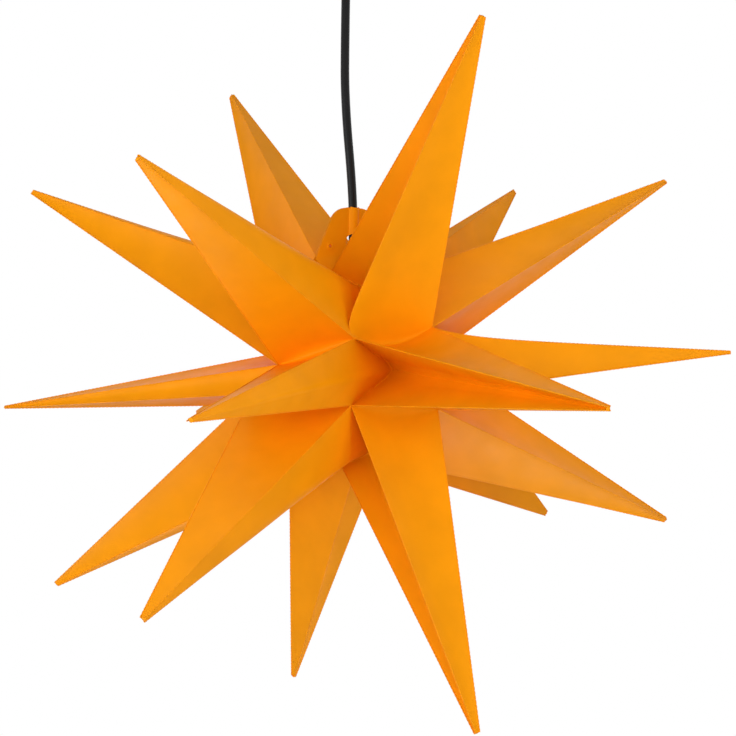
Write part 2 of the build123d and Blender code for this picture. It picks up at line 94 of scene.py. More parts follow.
# Cord, along its solid but straight between the tabs, from the lamp holder up to the ceiling's grip
CORD_DIAMETER = 6.4 * MM
CORD_ROUTE = [
    (5.0, 0.0, -268.35),
    (5.0, 0.0, -235.0),
    (5.0, 0.0, -200.0),
    (-1.0, 0.0, -132.0),
    (-0.8, 0.0, -85.0),
    (0.0, 0.0, -41.1),
]

# Camera
CAMERA_DISTANCE = 1039.0 * MM
CAMERA_ELEVATION = 1.65
CAMERA_LENS = 69.16
SENSOR_WIDTH = 36.0
CLIP_START = 0.01
PHOTO_SIZE = 736
STAR_CENTRE_PIXEL = (353.0, 371.9)

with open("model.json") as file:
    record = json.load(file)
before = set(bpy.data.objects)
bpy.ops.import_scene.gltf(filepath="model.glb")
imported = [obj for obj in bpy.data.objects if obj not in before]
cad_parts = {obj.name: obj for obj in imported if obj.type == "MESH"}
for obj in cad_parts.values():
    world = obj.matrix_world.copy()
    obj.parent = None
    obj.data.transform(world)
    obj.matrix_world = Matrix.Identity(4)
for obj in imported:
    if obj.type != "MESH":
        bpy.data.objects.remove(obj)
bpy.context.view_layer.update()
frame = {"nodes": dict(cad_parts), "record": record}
scene = bpy.context.scene
scene.view_settings.view_transform = "Standard"


# Materials
NOISE_LOW, NOISE_HIGH = 0.3, 0.7  # the middle stretch of a noise
CLOUD_GRAINS = 40  # colour patches of a moulded finish, in grains
GLOSS_GRAINS = 15  # its patches of uneven gloss, in grains
GLOSS_SPREAD = 0.15
BRUSH_LINE = 0.4 * MM
BRUSH_CLOUD = 9 * MM
BRUSH_DEPTH = 0.02 * MM
BRUSH_DARK = 0.82
BRUSH_SPREAD = 0.3


def material(name, colour, roughness, **sockets):
    """New principled material, its node tree and its shader."""
    made = bpy.data.materials.new(name)
    made.use_nodes = True
    shader = made.node_tree.nodes["Principled BSDF"]
    shader.inputs["Base Color"].default_value = (*colour, 1)
    shader.inputs["Roughness"].default_value = roughness
    for socket, value in sockets.items():
        shader.inputs[socket.replace("_", " ")].default_value = value
    return made, made.node_tree, shader


def noise_node(tree, size, detail=3.0, stretch=(1, 1, 1)):
    """Noise in object space whose patches are about this size."""
    place = tree.nodes.new("ShaderNodeTexCoord")
    scaled = tree.nodes.new("ShaderNodeMapping")
    scaled.inputs["Scale"].default_value = [s / size for s in stretch]
    made = tree.nodes.new("ShaderNodeTexNoise")
    made.inputs["Scale"].default_value = 1.0
    made.inputs["Detail"].default_value = detail
    tree.links.new(place.outputs["Object"], scaled.inputs["Vector"])
    tree.links.new(scaled.outputs["Vector"], made.inputs["Vector"])
    return made.outputs["Fac"]


def spread(tree, factor, low, high):
    """Numbers between low and high that follow the middle stretch of a noise."""
    made = tree.nodes.new("ShaderNodeMapRange")
    made.inputs["From Min"].default_value = NOISE_LOW
    made.inputs["From Max"].default_value = NOISE_HIGH
    made.inputs["To Min"].default_value = low
    made.inputs["To Max"].default_value = high
    tree.links.new(factor, made.inputs["Value"])
    return made.outputs["Result"]


def two_tone(tree, shader, factor, dark, light):
    """Colour between two tones that follows the middle stretch of a noise."""
    ramp = tree.nodes.new("ShaderNodeValToRGB")
    ramp.color_ramp.elements[0].position = NOISE_LOW
    ramp.color_ramp.elements[1].position = NOISE_HIGH
    ramp.color_ramp.elements[0].color = (*dark, 1)
    ramp.color_ramp.elements[1].color = (*light, 1)
    tree.links.new(factor, ramp.inputs["Fac"])
    tree.links.new(ramp.outputs["Color"], shader.inputs["Base Color"])


def bump(tree, shader, factor, depth):
    """Relief of a given depth."""
    made = tree.nodes.new("ShaderNodeBump")
    made.inputs["Strength"].default_value = 1.0
    made.inputs["Distance"].default_value = depth
    tree.links.new(factor, made.inputs["Height"])
    tree.links.new(made.outputs["Normal"], shader.inputs["Normal"])


def shade(colour, factor):
    """A colour made darker or lighter."""
    return tuple(channel * factor for channel in colour)


def moulded(name, colour, roughness, grain, depth, tone=0.12, **sockets):
    """Plastic or rubber with cloudy colour, uneven gloss and a fine grain."""
    made, tree, shader = material(name, colour, roughness, **sockets)
    dark, light = shade(colour, 1 - tone), shade(colour, 1 + tone / 2)
    two_tone(tree, shader, noise_node(tree, CLOUD_GRAINS * grain), dark, light)
    matt, shiny = roughness * (1 + GLOSS_SPREAD), roughness * (1 - GLOSS_SPREAD)
    gloss = spread(tree, noise_node(tree, GLOSS_GRAINS * grain), shiny, matt)
    tree.links.new(gloss, shader.inputs["Roughness"])
    bump(tree, shader, noise_node(tree, grain, detail=2.0), depth)
    return made


def brushed(name, colour, roughness, stretch):
    """Metal with fine lines drawn along one way."""
    made, tree, shader = material(name, colour, roughness, Metallic=1.0)
    lines = noise_node(tree, BRUSH_LINE, detail=4.0, stretch=stretch)
    two_tone(tree, shader, noise_node(tree, BRUSH_CLOUD), shade(colour, BRUSH_DARK), colour)
    gloss = spread(tree, lines, roughness * (1 - BRUSH_SPREAD), roughness * (1 + BRUSH_SPREAD))
    tree.links.new(gloss, shader.inputs["Roughness"])
    bump(tree, shader, lines, BRUSH_DEPTH)
    return made


ORANGE = (0.95, 0.337, 0.002)
BLACK = (0.004, 0.004, 0.0042)
sheet_finish = moulded(
    "star_sheet", ORANGE, 0.45, 0.8 * MM, 0.012 * MM, tone=0.06, Specular_IOR_Level=0.06
)
seam_finish = moulded(
    "seam_thread", ORANGE, 0.6, 0.4 * MM, 0.02 * MM, tone=0.1, Specular_IOR_Level=0.1
)
cord_finish = moulded("cord_sheath", BLACK, 0.32, 0.6 * MM, 0.01 * MM, Specular_IOR_Level=0.2)
WHITE_METAL = (0.85, 0.85, 0.84)
FINISHES = {
    "star_sheet": sheet_finish,
    "cord_sheath": cord_finish,
    "rose_plastic": moulded("rose_plastic", (0.02, 0.02, 0.021), 0.5, 0.7 * MM, 0.03 * MM),
    "holder_plastic": moulded("holder_plastic", (0.018, 0.018, 0.018), 0.25, 0.9 * MM, 0.01 * MM),
    "plate_steel": brushed("plate_steel", (0.62, 0.62, 0.6), 0.35, (0.03, 1, 1)),
    "screw_steel": brushed("screw_steel", (0.56, 0.56, 0.55), 0.3, (1, 0.05, 1)),
    "terminal_plastic": moulded("terminal_plastic", (0.78, 0.77, 0.72), 0.45, 0.7 * MM, 0.02 * MM),
    "lead_insulation": moulded("lead_insulation", (0.12, 0.2, 0.5), 0.3, 0.5 * MM, 0.01 * MM),
    "contact_brass": brushed("contact_brass", (0.75, 0.56, 0.26), 0.28, (1, 1, 0.05)),
    "bulb_plastic": moulded("bulb_plastic", (0.84, 0.84, 0.83), 0.4, 0.6 * MM, 0.015 * MM, tone=0.05),
    "globe_plastic": moulded("globe_plastic", (0.9, 0.88, 0.83), 0.3, 0.8 * MM, 0.008 * MM, tone=0.04),
    "board_aluminium": moulded("board_aluminium", WHITE_METAL, 0.35, 0.4 * MM, 0.01 * MM, tone=0.05),
}


# Mesh building


class Shape:
    """Points and faces of one piece, gathered patch by patch."""

    def __init__(self):
        self.points = []
        self.faces = []
        self.finishes = []

    def add(self, points, faces, finish=0):
        start = len(self.points)
        self.points += [tuple(p) for p in points]
        self.faces += [[start + corner for corner in face] for face in faces]
        self.finishes += [finish] * len(faces)

    def build(self, name, materials, crisp=65.0):
        """The object, smooth except where faces meet at more than the crisp angle."""
        mesh = bpy.data.meshes.new(name)
        mesh.from_pydata(self.points, [], self.faces)
        mesh.polygons.foreach_set("material_index", self.finishes)
        mesh.polygons.foreach_set("use_smooth", [True] * len(self.faces))
        for made in materials:
            mesh.materials.append(made)
        mesh.set_sharp_from_angle(angle=radians(crisp))
        mesh.update()
        made = bpy.data.objects.new(name, mesh)
        scene.collection.objects.link(made)
        return made


def grid_faces(rows, columns, start=0, flip=False):
    """Quads of a grid of points stored row by row."""
    faces = []
    for r in range(rows - 1):
        for c in range(columns - 1):
            corner = start + r * columns + c
            quad = [corner, corner + 1, corner + columns + 1, corner + columns]
            faces.append(quad[::-1] if flip else quad)
    return faces


def grid_normals(grid):
    """Unit normals at the points of a grid."""
    down = np.gradient(grid, axis=0)
    across = np.gradient(grid, axis=1)
    normals = np.cross(across, down)
    return normals / np.maximum(np.linalg.norm(normals, axis=2, keepdims=True), 1e-12)


def thinned(grid, thickness):
    """Thickness of a sheet that thins out to its two ridges, to stay clear of its neighbours there."""
    ridges = grid[:1], grid[-1:]
    edge = np.minimum(*(np.linalg.norm(grid - ridge, axis=2, keepdims=True) for ridge in ridges))
    return thickness * np.clip(edge / (RIDGE_TAPER * thickness), LEAST_SHARE, 1)


def thick_sheet(shape, grid, thickness, outward, thin_ridges=False):
    """Closed sheet whose outer face is the grid; outward is a way that its outside faces."""
    normals = grid_normals(grid)
    if np.sum(normals @ outward) < 0:
        grid = grid[:, ::-1]
        normals = grid_normals(grid)
    rows, columns = grid.shape[:2]
    count = rows * columns
    inner = grid - normals * (thinned(grid, thickness) if thin_ridges else thickness)
    points = np.concatenate([grid.reshape(-1, 3), inner.reshape(-1, 3)])
    faces = grid_faces(rows, columns, flip=True) + grid_faces(rows, columns, count)
    rim = list(range(columns))
    rim += [r * columns + columns - 1 for r in range(1, rows)]
    rim += [(rows - 1) * columns + c for c in range(columns - 2, -1, -1)]
    rim += [r * columns for r in range(rows - 2, 0, -1)]
    for a, b in zip(rim, rim[1:] + rim[:1]):
        faces.append([a, b, b + count, a + count])
    shape.add(points, faces)


def turned(shape, outline, middle, axis, sides=32, finish=0):
    """Ring turned about an axis from a closed outline of (radius, height) points."""
    axis = Vector(axis).normalized()
    across = axis.orthogonal().normalized()
    beside = axis.cross(across)
    points = []
    for step in range(sides):
        angle = 2 * pi * step / sides
        out = across * cos(angle) + beside * sin(angle)
        points += [Vector(middle) + out * radius + axis * height for radius, height in outline]
    count = len(outline)
    faces = []
    for step in range(sides):
        for k in range(count):
            here = step * count
            there = (step + 1) % sides * count
            faces.append([here + k, there + k, there + (k + 1) % count, here + (k + 1) % count])
    shape.add(points, faces, finish)


def unit(vector):
    return vector / np.linalg.norm(vector)


def aim(heading, elevation=0.0):
    """Unit vector at a heading and an elevation."""
    heading, elevation = radians(heading), radians(elevation)
    level = cos(elevation)
    return np.array([level * sin(heading), -level * cos(heading), sin(elevation)])


# Star: corners of its core, from the star's centre


def ring_corners(row, sag):
    """Corners of the core between the middle row and another row, one after each column."""
    corners = []
    for column, place in enumerate(COLUMNS):
        beside = (column + 1) % len(COLUMNS)
        mean = sum(aim(*SPIKE_AIMS[r][c]) for r in (row, "middle") for c in (column, beside))
        corners.append(unit(mean) * CORE_RADIUS + np.array(sag.get(place, (0, 0, 0))) * MM)
    return corners


def pole_corners(height, half_gap, edge, end, rear_shift=0.0):
    """Corners of the core at a pole, round a slit or a seam."""
    across = aim(SEAM_HEADING) * half_gap
    along = aim(SEAM_HEADING + 90)
    lift = np.array([0, 0, height])
    flat = [
        across - along * edge,
        across + along * edge,
        along * end,
        along * (rear_shift + edge) - across,
        along * (rear_shift - edge) - across,
        along * -end,
    ]
    return [corner + lift for corner in flat]


SLIDE_GAP = 0.6 * MM
SLIT = CORD_DIAMETER / 2 + SLIDE_GAP + SHEET
upper_ring = ring_corners("upper", UPPER_SAG)
lower_ring = ring_corners("lower", LOWER_SAG)
top_pole = pole_corners(POLE_TOP, SLIT, TOP_EDGE, TOP_END)
bottom_pole = pole_corners(-POLE_BOTTOM, 0, BOTTOM_EDGE, BOTTOM_END, BOTTOM_REAR_SHIFT)
ROWS = {
    "upper": (top_pole, upper_ring),
    "middle": (upper_ring, lower_ring),
    "lower": (lower_ring, bottom_pole),
}
LEFT, TOP, RIGHT, BOTTOM = range(4)  # sides of a spike
ROW_ABOVE = {"middle": "upper", "lower": "middle"}
ROW_BELOW = {"upper": "middle", "middle": "lower"}


def tip(row, column):
    """Point of a spike, before it is cut blunt."""
    return aim(*SPIKE_AIMS[row][column]) * (SPIKE_REACH + TIP_CUT)


def neighbour(row, column, side):
    """Point of the spike across a face's fold, or None at the slit and the seam."""
    if side in (LEFT, RIGHT):
        return tip(row, (column + (1 if side == RIGHT else -1)) % len(COLUMNS))
    beyond = (ROW_ABOVE if side == TOP else ROW_BELOW).get(row)
    return tip(beyond, column) if beyond else None


# A fold runs between two corners of the core by way of a rounded knee.  Its bend, where it has one, is
# a second line by which the sheet of the spike before it turns into the fold.  Millimetres, from the
# star's centre.
Fold = namedtuple("Fold", "knee rounding softness bend", defaults=[None])
SPECIAL_FOLDS = {
    ("beside", "upper", 0): Fold((15.0, -17.0, 57.0), 0.3, 3.0, bend=(-2.1, -50.0, 64.6)),
    ("beside", "middle", 0): Fold((32.0, -22.0, 2.8), 0.25, 3.0, bend=(15.5, -55.0, 1.5)),
    ("beside", "lower", 0): Fold((16.0, -6.0, -56.8), 0.3, 3.0, bend=(-1.8, -44.0, -62.0)),
    ("under", "upper", 1): Fold((24.3, -28.5, 13.1), 0.9, 5.0),
}
BEND_ROUNDING = 0.12
BEND_SOFTNESS = 1.5 * MM
FLAP_SHARE = 0.4  # most of a flap, from fold to bend, that a turn at either end takes up
LEAST_FLAP = 1e-7
LEAST_LEG = 1e-9


def bowed(start, knee, end, rounding, t):
    """Point at t on a line from start to end by way of a rounded knee."""
    first = knee + (start - knee) * rounding
    last = knee + (end - knee) * rounding
    legs = [np.linalg.norm(first - start), np.linalg.norm(last - first), np.linalg.norm(end - last)]
    along = t * sum(legs)
    if along <= legs[0]:
        return start + (first - start) * along / max(legs[0], LEAST_LEG)
    if along >= legs[0] + legs[1]:
        return last + (end - last) * (along - legs[0] - legs[1]) / max(legs[2], LEAST_LEG)
    q = (along - legs[0]) / legs[1]
    return first * (1 - q) ** 2 + knee * 2 * q * (1 - q) + last * q**2


def fold_under(row, column, side, left, right):
    """The fold that a side of a spike starts from."""
    if side in (LEFT, RIGHT):
        key = ("beside", row, column if side == RIGHT else (column - 1) % len(COLUMNS))
    else:
        key = ("under", row if side == BOTTOM else ROW_ABOVE.get(row), column)
    if key in SPECIAL_FOLDS:
        return SPECIAL_FOLDS[key]
    middle = (left + right) / 2
    if neighbour(row, column, side) is None:
        return Fold(middle / MM, FOLD_ROUNDING, 0.0)
    bow = min(FOLD_BOW, np.linalg.norm(right - left) * BOW_LIMIT)
    knee = middle - unit(middle) * bow * 2  # the rounded line only reaches halfway to it
    return Fold(knee / MM, FOLD_ROUNDING, FOLD_SOFTNESS / MM)


ACROSS_STEPS = 26
CREASE_STEPS = (0.5, 0.51, 0.58, 0.66, 0.74, 0.82, 0.91)
BEND_STEPS = (0.0, 0.15, 0.3, 0.5, 0.7, 0.85)
FLAP_STEPS = 5
FACE_STEPS = 24
FACE_START = 0.01  # a first short step, so that a turn's shading ends with the turn


def rounded(corner, behind, ahead, soft, steps):
    """Points of a rounded turn at a corner, from the way behind it to the way ahead."""
    return [corner + behind * soft * (1 - q) ** 2 + ahead * soft * q**2 for q in steps]


def stretch(start, end, steps):
    """Points from start up to, but without, end."""
    return [start + (end - start) * k for k in [0, FACE_START, *[k / steps for k in range(1, steps)]]]


def to_end(start, point, way_on):
    """Points of a face from start to its blunt end."""
    end = point - way_on * TIP_CUT
    return stretch(start, end, FACE_STEPS) + [end]


def face_line(fold, bend, point, across, soft, bends_here):
    """Points of a face from the middle of its fold to its blunt end, along one line of the sheet."""
    way_on = unit(point - fold)
    if across is None:
        return to_end(fold, point, way_on)
    way_back = unit(across - fold)
    if bend is None:
        line = rounded(fold, way_back, way_on, soft, CREASE_STEPS)
        return line + to_end(fold + way_on * soft, point, way_on)
    flap = np.linalg.norm(bend - fold)
    to_bend = (bend - fold) / flap if flap > LEAST_FLAP else way_on
    soft = min(soft, flap * FLAP_SHARE)
    if not bends_here:
        line = rounded(fold, to_bend, way_on, soft, CREASE_STEPS)
        return line + to_end(fold + way_on * soft, point, way_on)
    way_on = unit(point - bend)
    turn = min(BEND_SOFTNESS, flap * FLAP_SHARE)
    line = rounded(fold, way_back, to_bend, soft, CREASE_STEPS)
    line += stretch(fold + to_bend * soft, bend - to_bend * turn, FLAP_STEPS)
    line += rounded(bend, to_bend * -1, way_on, turn, BEND_STEPS)
    return line + to_end(bend + way_on * turn, point, way_on)


def face_grid(row, column, side, left, right):
    """Outer face of one side of a spike, from its fold to its blunt end, as a grid of points."""
    point = tip(row, column)
    across = neighbour(row, column, side)
    fold = fold_under(row, column, side, left, right)
    knee = np.array(fold.knee) * MM
    grid = []
    for step in range(ACROSS_STEPS + 1):
        t = (1 - cos(pi * step / ACROSS_STEPS)) / 2
        place = bowed(left, knee, right, fold.rounding, t)
        soft = fold.softness * MM * 4 * t * (1 - t)
        bend = None
        if fold.bend is not None:
            bend = bowed(left, np.array(fold.bend) * MM, right, BEND_ROUNDING, t)
        grid.append(face_line(place, bend, point, across, soft, side == RIGHT))
    return np.array(grid)


BOW_FADE = 1.5  # how fast a bow dies out across a face

# Ridges that bow near the core, by row, column and corner of the spike's base, which are top left, top
# right, bottom right and bottom left: millimetres, and the share of the ridge over which the bow begins
Bow = namedtuple("Bow", "x y z start", defaults=[0.12])
RIDGE_BOWS = {
    ("upper", 1, 3): Bow(-10.3, -2.0, 0.0, start=0.03),
    ("upper", 2, 0): Bow(0.0, 0.0, -7.0),
    ("upper", 2, 1): Bow(0.0, 0.0, -7.0),
    ("upper", 5, 0): Bow(0.0, 0.0, -9.0),
    ("upper", 5, 1): Bow(0.0, 0.0, -9.0),
    ("middle", 2, 0): Bow(0.0, 0.0, -7.0),
    ("middle", 2, 3): Bow(0.0, 0.0, 12.0),
    ("lower", 2, 2): Bow(0.0, 0.0, 9.0),
    ("lower", 2, 3): Bow(0.0, 0.0, 9.0),
    ("lower", 5, 2): Bow(0.0, 0.0, 9.0),
    ("lower", 5, 3): Bow(0.0, 0.0, 9.0),
}


def bow_ridges(grid, row, column, side):
    """Moves a face along with the bows of the ridges at its two edges."""
    point = tip(row, column)
    for corner, edge in ((side - 1) % 4, 0), (side, -1):
        bow = RIDGE_BOWS.get((row, column, corner))
        if bow is None:
            continue
        length = np.linalg.norm(grid[:, :1] - point, axis=2, keepdims=True)
        share = np.clip(1 - np.linalg.norm(grid - point, axis=2, keepdims=True) / length, 0, 1)
        near = np.linspace(1, 0, grid.shape[0]) if edge == 0 else np.linspace(0, 1, grid.shape[0])
        rise = (1 - share) * (1 - np.exp(-share / bow.start)) * near[:, None, None] ** BOW_FADE
        grid = grid + np.array([bow.x, bow.y, bow.z]) * MM * rise
    return grid


def waved(grid, seed):
    """The grid with slow waves that die out at its edges."""
    normals = grid_normals(grid)
    rows, columns = grid.shape[:2]
    made = grid.copy()
    for r in range(rows):
        for c in range(columns):
            calm = sin(pi * r / (rows - 1)) * sin(pi * c / (columns - 1))
            place = Vector(grid[r, c] / WAVE_LENGTH) + Vector((seed * WAVE_STEP, 0, 0))
            made[r, c] += normals[r, c] * noise.noise(place) * WAVE_HEIGHT * calm
    return made


def sewn_ridge(shape, edge, finish):
    """Line of stitches along a sheet's edge: a thin cord that swells at each stitch."""
    steps = np.linalg.norm(np.diff(edge, axis=0), axis=1)
    along = np.concatenate([[0], np.cumsum(steps)])
    rings = int(along[-1] / STITCH_PITCH) * STITCH_RINGS
    places = np.linspace(0, along[-1], rings + 1)
    middles = np.stack([np.interp(places, along, edge[:, k]) for k in range(3)], axis=1)
    way = Vector(unit(edge[-1] - edge[0]))
    across = np.array(way.orthogonal().normalized())
    beside = np.cross(way, across)
    points = []
    for ring, middle in enumerate(middles):
        radius = SEAM_RADIUS + STITCH_SWELL * abs(sin(pi * ring / STITCH_RINGS))
        for side in range(SEAM_SIDES):
            angle = 2 * pi * side / SEAM_SIDES
            points.append(middle + (across * cos(angle) + beside * sin(angle)) * radius)
    faces = []
    for ring in range(rings):
        for side in range(SEAM_SIDES):
            here = ring * SEAM_SIDES
            next_ring = here + SEAM_SIDES
            beyond = (side + 1) % SEAM_SIDES
            faces.append([here + side, here + beyond, next_ring + beyond, next_ring + side])
    faces.append(list(range(SEAM_SIDES))[::-1])
    faces.append(list(range(rings * SEAM_SIDES, (rings + 1) * SEAM_SIDES)))
    shape.add(points, faces, finish)


TIP_RADIUS = 1.5 * MM
TIP_LENGTH = 0.5 * MM
TIP_STEPS = 7
TIP_SIDES = 12
SEAM_SLOT = 1  # place of the thread among a spike's materials


def make_spike(row, column):
    """One spike: four sheets, four sewn ridges and a blunt end."""
    above, below = ROWS[row]
    base = [above[column - 1], above[column], below[column], below[column - 1]]
    point = tip(row, column)
    shape = Shape()
    for side in (LEFT, TOP, RIGHT, BOTTOM):
        left, right = base[side - 1], base[side]
        grid = face_grid(row, column, side, left, right)
        grid = bow_ridges(waved(grid, column + len(COLUMNS) * side), row, column, side)
        outward = (left + right) / 2 - sum(base) / 4
        thick_sheet(shape, grid + STAR_CENTRE, SHEET, outward, thin_ridges=True)
        sewn_ridge(shape, grid[0] + STAR_CENTRE, SEAM_SLOT)
    angles = np.linspace(-pi / 2, pi / 2, TIP_STEPS)
    cap = [(TIP_RADIUS * cos(a), TIP_LENGTH * sin(a)) for a in angles]
    way = unit(point)
    turned(shape, cap, STAR_CENTRE + way * SPIKE_REACH, way, sides=TIP_SIDES, finish=SEAM_SLOT)
    name = f"{row}_{COLUMNS[column]}_spike"
    made = shape.build(f"{name}_sheets", [sheet_finish, seam_finish])
    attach(made, "star")
    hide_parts(name)


for row in ROWS:
    for column in range(len(COLUMNS)):
        make_spike(row, column)


# Tabs that close round the cord
TAB_HEIGHT = 48.0 * MM
TAB_SHOULDER = 10.0 * MM
TAB_HALF_WIDTH = 33.0 * MM
TAB_TOP_HALF_WIDTH = 15.0 * MM
TAB_TOP_RADIUS = 15.0 * MM
TAB_SIGHT_HOLE = 14.0 * MM
TAB_SIGHT_HEIGHT = 22.5 * MM
TAB_REST = 1.1 * MM  # cord's middle plane to a tab's outer face, beside the cord
TAB_CLOSED = 14.0 * MM  # height at which the tabs have closed on each other
RIVET_REACH = 20.5 * MM
RIVET_HEIGHT = 19.5 * MM
RIVET_HOLE = 3.0 * MM
RIVET_HEAD = 5.6 * MM
RIVET_BORE = 2.2 * MM
RIVET_ROLL = 0.5 * MM  # radius of a rivet's rolled rim
ROLL_START = 0.3  # angle at which a roll leaves its flat
ROLL_STEPS = 7
BORE_STEPS = 4
TAB_ROWS = 60
TAB_COLUMNS = 96
TAB_EVEN = 0.45  # share of even spacing among a tab's columns, which crowd at the cord
TAB_TURN = 0.5 * MM  # softness of a tab's turn from the cord to its flat
TAB_CRISP = 35.0


def eased(x):
    """Smooth step from 0 to 1."""
    x = min(max(x, 0.0), 1.0)
    return x * x * (3 - 2 * x)


def tab_half_width(height):
    """Half the tab's width at a height above the slit."""
    if height < TAB_SHOULDER:
        return TOP_EDGE + (TAB_HALF_WIDTH - TOP_EDGE) * eased(height / TAB_SHOULDER)
    slope = (TAB_HALF_WIDTH - TAB_TOP_HALF_WIDTH) / (TAB_HEIGHT - TAB_SHOULDER)
    side = TAB_HALF_WIDTH - slope * (height - TAB_SHOULDER)
    round_height = TAB_HEIGHT - TAB_TOP_RADIUS
    round_middle = TAB_HALF_WIDTH - slope * (round_height - TAB_SHOULDER)
    round_middle -= TAB_TOP_RADIUS * hypot(1, slope)
    rise = height - round_height
    if rise > TAB_TOP_RADIUS * sin(atan2(slope, 1)):
        side = round_middle + max(TAB_TOP_RADIUS**2 - rise**2, 0) ** 0.5
    return side


def tab_stand_off(reach, height):
    """Cord's middle plane to the tab's outer face: round the cord, closed beside it, open below."""
    flat = SLIT + (TAB_REST - SLIT) * eased(height / TAB_CLOSED)
    roll = max(SLIT**2 - reach**2, 0) ** 0.5
    gap = roll - flat
    return flat + (gap + hypot(gap, TAB_TURN)) / 2


def make_tab(name, heading):
    """One tab: a thin sheet that wraps half the cord, with its holes cut."""
    out = aim(heading)
    along = aim(heading + 90)
    foot = STAR_CENTRE + np.array([0, 0, POLE_TOP])
    grid = []
    for r in range(TAB_ROWS + 1):
        height = TAB_HEIGHT * sin(pi / 2 * r / TAB_ROWS)
        half = tab_half_width(height)
        row = []
        for c in range(TAB_COLUMNS + 1):
            share = 2 * c / TAB_COLUMNS - 1
            reach = half * (TAB_EVEN * share + (1 - TAB_EVEN) * share**3)
            row.append(foot + along * reach + out * tab_stand_off(reach, height) + (0, 0, height))
        grid.append(row)
    shape = Shape()
    thick_sheet(shape, np.array(grid), SHEET, out)
    made = shape.build(f"{name}_sheet", [sheet_finish])
    for reach, height, diameter in (
        (0, TAB_SIGHT_HEIGHT, TAB_SIGHT_HOLE),
        (-RIVET_REACH, RIVET_HEIGHT, RIVET_HOLE),
        (RIVET_REACH, RIVET_HEIGHT, RIVET_HOLE),
    ):
        cut_hole(made, foot + along * reach + (0, 0, height), out, diameter)
    made.data.set_sharp_from_angle(angle=radians(TAB_CRISP))
    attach(made, "star")
    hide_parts(name)


def cut_hole(piece, middle, way, diameter):
    """Cuts a round hole outwards from a middle."""
    drill = Shape()
    sides = 40
    length = 12 * MM
    axis = Vector(way)
    across = axis.orthogonal().normalized()
    beside = axis.cross(across)
    points = []
    for height in (0.0, length):
        for step in range(sides):
            angle = 2 * pi * step / sides
            out = (across * cos(angle) + beside * sin(angle)) * diameter / 2
            points.append(Vector(middle) + axis * height + out)
    faces = [[k, (k + 1) % sides, sides + (k + 1) % sides, sides + k] for k in range(sides)]
    faces.append(list(range(sides))[::-1])
    faces.append(list(range(sides, 2 * sides)))
    drill.add(points, faces)
    cutter = drill.build("drill", [sheet_finish])
    cut = piece.modifiers.new("hole", "BOOLEAN")
    cut.operation = "DIFFERENCE"
    cut.solver = "EXACT"
    cut.object = cutter
    bpy.context.view_layer.update()
    evaluated = piece.evaluated_get(bpy.context.evaluated_depsgraph_get())
    mesh = bpy.data.meshes.new_from_object(evaluated)
    piece.modifiers.remove(cut)
    piece.data = mesh
    bpy.data.objects.remove(cutter)


for name, heading in (("front_tab", SEAM_HEADING), ("rear_tab", SEAM_HEADING + 180)):
    make_tab(name, heading)


def make_rivets():
    """Two hollow rivets with rolled heads through both tabs."""
    shape = Shape()
    roll = RIVET_ROLL
    bore = RIVET_BORE / 2
    head = RIVET_HEAD / 2 - roll
    face = TAB_REST
    outer = np.linspace(ROLL_START, pi, ROLL_STEPS)
    inner = np.linspace(ROLL_START, pi / 2, BORE_STEPS)
    half = [(RIVET_HOLE / 2, 0), (RIVET_HOLE / 2, face), (head, face)]
    half += [(head + roll * sin(a), face + roll * (1 - cos(a))) for a in outer]
    half += [(bore + roll, face + 2 * roll)]
    half += [(bore + roll * (1 - sin(a)), face + roll * (1 + cos(a))) for a in inner]
    half += [(bore, 0)]
    outline = half + [(r, -h) for r, h in half[-2:0:-1]]
    lift = np.array([0, 0, POLE_TOP + RIVET_HEIGHT])
    for reach in (-RIVET_REACH, RIVET_REACH):
        middle = STAR_CENTRE + aim(SEAM_HEADING + 90) * reach + lift
        turned(shape, outline, middle, aim(SEAM_HEADING))
    made = shape.build("hollow_rivets", [sheet_finish])
    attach(made, "star")
    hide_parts("tab_rivets")


make_rivets()


# Cord
def make_cord():
    """The hanging cord, as a curve."""
    curve = bpy.data.curves.new("hanging_cord", "CURVE")
    curve.dimensions = "3D"
    curve.bevel_depth = CORD_DIAMETER / 2
    curve.bevel_resolution = 6
    curve.use_fill_caps = True
    curve.resolution_u = 16
    spline = curve.splines.new("NURBS")
    spline.points.add(len(CORD_ROUTE) - 1)
    for point, place in zip(spline.points, CORD_ROUTE):
        point.co = (*[x * MM for x in place], 1)
    spline.order_u = 3
    spline.use_endpoint_u = True
    curve.materials.append(cord_finish)
    cord = bpy.data.objects.new("hanging_cord", curve)
    scene.collection.objects.link(cord)
    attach(cord, "pendant")
    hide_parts("pendant_cord")


make_cord()

BEND_RIBS = 3
BEND_RINGS = 24
RIB_DEPTH = 0.07  # as a share of the cord's radius
BEND_TAPER = 0.35
BEND_AXIS = 0.0001 * MM  # radius that closes the sleeve's ends


def make_cord_bend():
    """The cord's bend in the grip's mouth: a short ribbed sleeve about the point that it swings on."""
    low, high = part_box("cord_bend")
    middle = (low + high) / 2
    radius = CORD_DIAMETER / 2
    half = (high.z - low.z) / 2
    outline = []
    for k in range(BEND_RINGS + 1):
        share = 2 * k / BEND_RINGS - 1
        swell = 1 - RIB_DEPTH + RIB_DEPTH * cos(share * BEND_RIBS * pi)
        outline.append((radius * swell * (1 - BEND_TAPER * share**4), half * share))
    outline = [(BEND_AXIS, -half)] + outline + [(BEND_AXIS, half)]
    shape = Shape()
    turned(shape, outline, middle, (0, 0, 1))
    made = shape.build("cord_bend_sleeve", [cord_finish])
    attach(made, "cord_swing")
    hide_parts("cord_bend")


make_cord_bend()

# Finish of the solids that stay
for subpart in frame["record"]["subparts"]:
    node = frame["nodes"][subpart["node"]]
    node.data.materials.clear()
    node.data.materials.append(FINISHES[subpart["material_slot"]])


